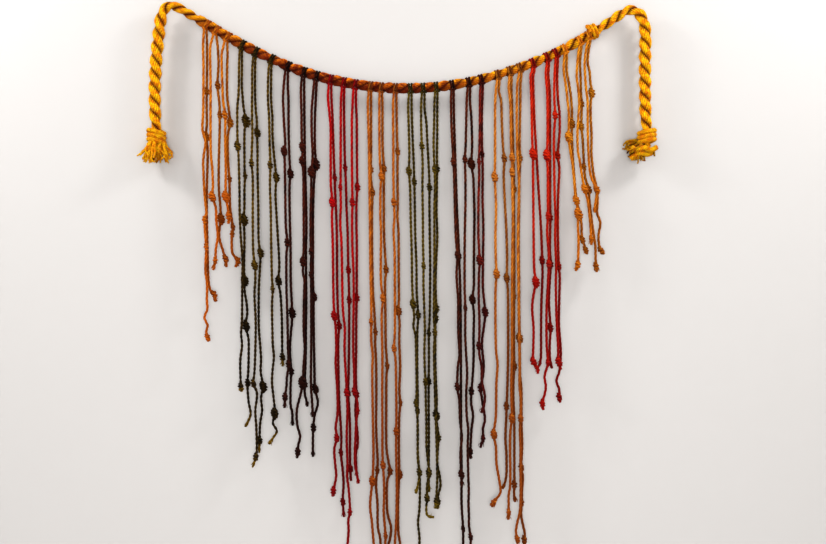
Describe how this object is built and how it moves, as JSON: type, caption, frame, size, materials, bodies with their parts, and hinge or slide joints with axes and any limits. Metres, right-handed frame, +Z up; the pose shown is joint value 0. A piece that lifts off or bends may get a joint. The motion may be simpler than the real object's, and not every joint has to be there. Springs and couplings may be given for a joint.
{
  "type": "quipu",
  "caption": "Knotted-cord record: a thick primary cord hung at both ends, with colour-grouped, doubled and knotted pendant cords tied along it.",
  "frame": {"origin": "where the left nail holds the primary cord", "axes": "+X along the span to the right, +Z up, the wall behind at +Y"},
  "size_m": [0.513, 0.0294, 0.5691],
  "materials": {
    "rope_yellow": "coarse three-ply yarn, matt",
    "orange": "two-ply spun cord, matt",
    "dark_olive": "two-ply spun cord, matt, dark and light plies",
    "dark_brown": "two-ply spun cord, matt",
    "crimson": "two-ply spun cord, matt",
    "orange_brown": "two-ply spun cord, matt",
    "olive_green": "two-ply spun cord, matt, dark and light plies",
    "umber": "two-ply spun cord, matt",
    "red_umber": "two-ply spun cord, matt",
    "ochre": "two-ply spun cord, matt",
    "red": "two-ply spun cord, matt",
    "golden": "two-ply spun cord, matt"
  },
  "bodies": {
    "primary_cord": {"primary_cord": "rope_yellow", "left_end_binding": "rope_yellow", "right_end_binding": "rope_yellow"},
    "orange_pendant_1": {"orange_pendant_1": "orange"},
    "orange_pendant_2": {"orange_pendant_2": "orange"},
    "orange_pendant_3": {"orange_pendant_3": "orange"},
    "dark_olive_pendant_1": {"dark_olive_pendant_1": "dark_olive"},
    "dark_olive_pendant_2": {"dark_olive_pendant_2": "dark_olive"},
    "dark_olive_pendant_3": {"dark_olive_pendant_3": "dark_olive"},
    "dark_brown_pendant_1": {"dark_brown_pendant_1": "dark_brown"},
    "dark_brown_pendant_2": {"dark_brown_pendant_2": "dark_brown"},
    "dark_brown_pendant_3": {"dark_brown_pendant_3": "dark_brown"},
    "crimson_pendant_1": {"crimson_pendant_1": "crimson"},
    "crimson_pendant_2": {"crimson_pendant_2": "crimson"},
    "crimson_pendant_3": {"crimson_pendant_3": "crimson"},
    "orange_brown_pendant_1": {"orange_brown_pendant_1": "orange_brown"},
    "orange_brown_pendant_2": {"orange_brown_pendant_2": "orange_brown"},
    "orange_brown_pendant_3": {"orange_brown_pendant_3": "orange_brown"},
    "olive_green_pendant_1": {"olive_green_pendant_1": "olive_green"},
    "olive_green_pendant_2": {"olive_green_pendant_2": "olive_green"},
    "olive_green_pendant_3": {"olive_green_pendant_3": "olive_green"},
    "umber_pendant_1": {"umber_pendant_1": "umber"},
    "umber_pendant_2": {"umber_pendant_2": "umber"},
    "umber_pendant_3": {"umber_pendant_3": "red_umber"},
    "ochre_pendant_1": {"ochre_pendant_1": "ochre"},
    "ochre_pendant_2": {"ochre_pendant_2": "ochre"},
    "ochre_pendant_3": {"ochre_pendant_3": "ochre"},
    "red_pendant_1": {"red_pendant_1": "red"},
    "red_pendant_2": {"red_pendant_2": "red"},
    "red_pendant_3": {"red_pendant_3": "red"},
    "golden_pendant_1": {"golden_pendant_1": "golden"},
    "golden_pendant_2": {"golden_pendant_2": "golden"},
    "golden_pendant_3": {"golden_pendant_3": "golden"}
  },
  "joints": [
    {"name": "orange_pendant_1_swing", "type": "hinge", "parent": "primary_cord", "child": "orange_pendant_1", "pos_m": [0.0381, 0, -0.01921], "axis": [-0.8733, 0, 0.4872], "range_deg": [0, 30]},
    {"name": "orange_pendant_2_swing", "type": "hinge", "parent": "primary_cord", "child": "orange_pendant_2", "pos_m": [0.0477, 0, -0.02477], "axis": [-0.8577, 0, 0.5141], "range_deg": [0, 30]},
    {"name": "orange_pendant_3_swing", "type": "hinge", "parent": "primary_cord", "child": "orange_pendant_3", "pos_m": [0.0589, 0, -0.03136], "axis": [-0.8712, 0, 0.4909], "range_deg": [0, 30]},
    {"name": "dark_olive_pendant_1_swing", "type": "hinge", "parent": "primary_cord", "child": "dark_olive_pendant_1", "pos_m": [0.0735, 0, -0.03935], "axis": [-0.8831, 0, 0.4692], "range_deg": [0, 30]},
    {"name": "dark_olive_pendant_2_swing", "type": "hinge", "parent": "primary_cord", "child": "dark_olive_pendant_2", "pos_m": [0.0871, 0, -0.04628], "axis": [-0.8986, 0, 0.4388], "range_deg": [0, 30]},
    {"name": "dark_olive_pendant_3_swing", "type": "hinge", "parent": "primary_cord", "child": "dark_olive_pendant_3", "pos_m": [0.1029, 0, -0.05361], "axis": [-0.914, 0, 0.4057], "range_deg": [0, 30]},
    {"name": "dark_brown_pendant_1_swing", "type": "hinge", "parent": "primary_cord", "child": "dark_brown_pendant_1", "pos_m": [0.1191, 0, -0.06061], "axis": [-0.9262, 0, 0.3771], "range_deg": [0, 30]},
    {"name": "dark_brown_pendant_2_swing", "type": "hinge", "parent": "primary_cord", "child": "dark_brown_pendant_2", "pos_m": [0.1351, 0, -0.06646], "axis": [-0.9499, 0, 0.3124], "range_deg": [0, 30]},
    {"name": "dark_brown_pendant_3_swing", "type": "hinge", "parent": "primary_cord", "child": "dark_brown_pendant_3", "pos_m": [0.1477, 0, -0.07032], "axis": [-0.9617, 0, 0.2741], "range_deg": [0, 30]},
    {"name": "crimson_pendant_1_swing", "type": "hinge", "parent": "primary_cord", "child": "crimson_pendant_1", "pos_m": [0.1615, 0, -0.0739], "axis": [-0.9743, 0, 0.2252], "range_deg": [0, 30]},
    {"name": "crimson_pendant_2_swing", "type": "hinge", "parent": "primary_cord", "child": "crimson_pendant_2", "pos_m": [0.1747, 0, -0.07665], "axis": [-0.9827, 0, 0.1852], "range_deg": [0, 30]},
    {"name": "crimson_pendant_3_swing", "type": "hinge", "parent": "primary_cord", "child": "crimson_pendant_3", "pos_m": [0.1861, 0, -0.07865], "axis": [-0.9872, 0, 0.1592], "range_deg": [0, 30]},
    {"name": "orange_brown_pendant_1_swing", "type": "hinge", "parent": "primary_cord", "child": "orange_brown_pendant_1", "pos_m": [0.2011, 0, -0.08073], "axis": [-0.9934, 0, 0.1143], "range_deg": [0, 30]},
    {"name": "orange_brown_pendant_2_swing", "type": "hinge", "parent": "primary_cord", "child": "orange_brown_pendant_2", "pos_m": [0.2117, 0, -0.08176], "axis": [-0.9969, 0, 0.0792], "range_deg": [0, 30]},
    {"name": "orange_brown_pendant_3_swing", "type": "hinge", "parent": "primary_cord", "child": "orange_brown_pendant_3", "pos_m": [0.2259, 0, -0.08255], "axis": [-0.9995, 0, 0.0328], "range_deg": [0, 30]},
    {"name": "olive_green_pendant_1_swing", "type": "hinge", "parent": "primary_cord", "child": "olive_green_pendant_1", "pos_m": [0.2409, 0, -0.08268], "axis": [-0.9999, 0, -0.0149], "range_deg": [0, 30]},
    {"name": "olive_green_pendant_2_swing", "type": "hinge", "parent": "primary_cord", "child": "olive_green_pendant_2", "pos_m": [0.2537, 0, -0.08224], "axis": [-0.9985, 0, -0.0544], "range_deg": [0, 30]},
    {"name": "olive_green_pendant_3_swing", "type": "hinge", "parent": "primary_cord", "child": "olive_green_pendant_3", "pos_m": [0.2667, 0, -0.08126], "axis": [-0.9954, 0, -0.0957], "range_deg": [0, 30]},
    {"name": "umber_pendant_1_swing", "type": "hinge", "parent": "primary_cord", "child": "umber_pendant_1", "pos_m": [0.2825, 0, -0.07935], "axis": [-0.9895, 0, -0.1443], "range_deg": [0, 30]},
    {"name": "umber_pendant_2_swing", "type": "hinge", "parent": "primary_cord", "child": "umber_pendant_2", "pos_m": [0.2989, 0, -0.07648], "axis": [-0.9798, 0, -0.2001], "range_deg": [0, 30]},
    {"name": "umber_pendant_3_swing", "type": "hinge", "parent": "primary_cord", "child": "umber_pendant_3", "pos_m": [0.3115, 0, -0.07366], "axis": [-0.9715, 0, -0.2369], "range_deg": [0, 30]},
    {"name": "ochre_pendant_1_swing", "type": "hinge", "parent": "primary_cord", "child": "ochre_pendant_1", "pos_m": [0.3279, 0, -0.06921], "axis": [-0.9591, 0, -0.2831], "range_deg": [0, 30]},
    {"name": "ochre_pendant_2_swing", "type": "hinge", "parent": "primary_cord", "child": "ochre_pendant_2", "pos_m": [0.3399, 0, -0.0655], "axis": [-0.9515, 0, -0.3076], "range_deg": [0, 30]},
    {"name": "ochre_pendant_3_swing", "type": "hinge", "parent": "primary_cord", "child": "ochre_pendant_3", "pos_m": [0.3499, 0, -0.06214], "axis": [-0.9444, 0, -0.3288], "range_deg": [0, 30]},
    {"name": "red_pendant_1_swing", "type": "hinge", "parent": "primary_cord", "child": "red_pendant_1", "pos_m": [0.3629, 0, -0.05738], "axis": [-0.9326, 0, -0.361], "range_deg": [0, 30]},
    {"name": "red_pendant_2_swing", "type": "hinge", "parent": "primary_cord", "child": "red_pendant_2", "pos_m": [0.3771, 0, -0.05152], "axis": [-0.9158, 0, -0.4016], "range_deg": [0, 30]},
    {"name": "red_pendant_3_swing", "type": "hinge", "parent": "primary_cord", "child": "red_pendant_3", "pos_m": [0.3859, 0, -0.04752], "axis": [-0.904, 0, -0.4276], "range_deg": [0, 30]},
    {"name": "golden_pendant_1_swing", "type": "hinge", "parent": "primary_cord", "child": "golden_pendant_1", "pos_m": [0.3943, 0, -0.04339], "axis": [-0.8913, 0, -0.4534], "range_deg": [0, 30]},
    {"name": "golden_pendant_2_swing", "type": "hinge", "parent": "primary_cord", "child": "golden_pendant_2", "pos_m": [0.4095, 0, -0.0352], "axis": [-0.8672, 0, -0.498], "range_deg": [0, 30]},
    {"name": "golden_pendant_3_swing", "type": "hinge", "parent": "primary_cord", "child": "golden_pendant_3", "pos_m": [0.4189, 0, -0.02966], "axis": [-0.8577, 0, -0.5141], "range_deg": [0, 30]}
  ]
}
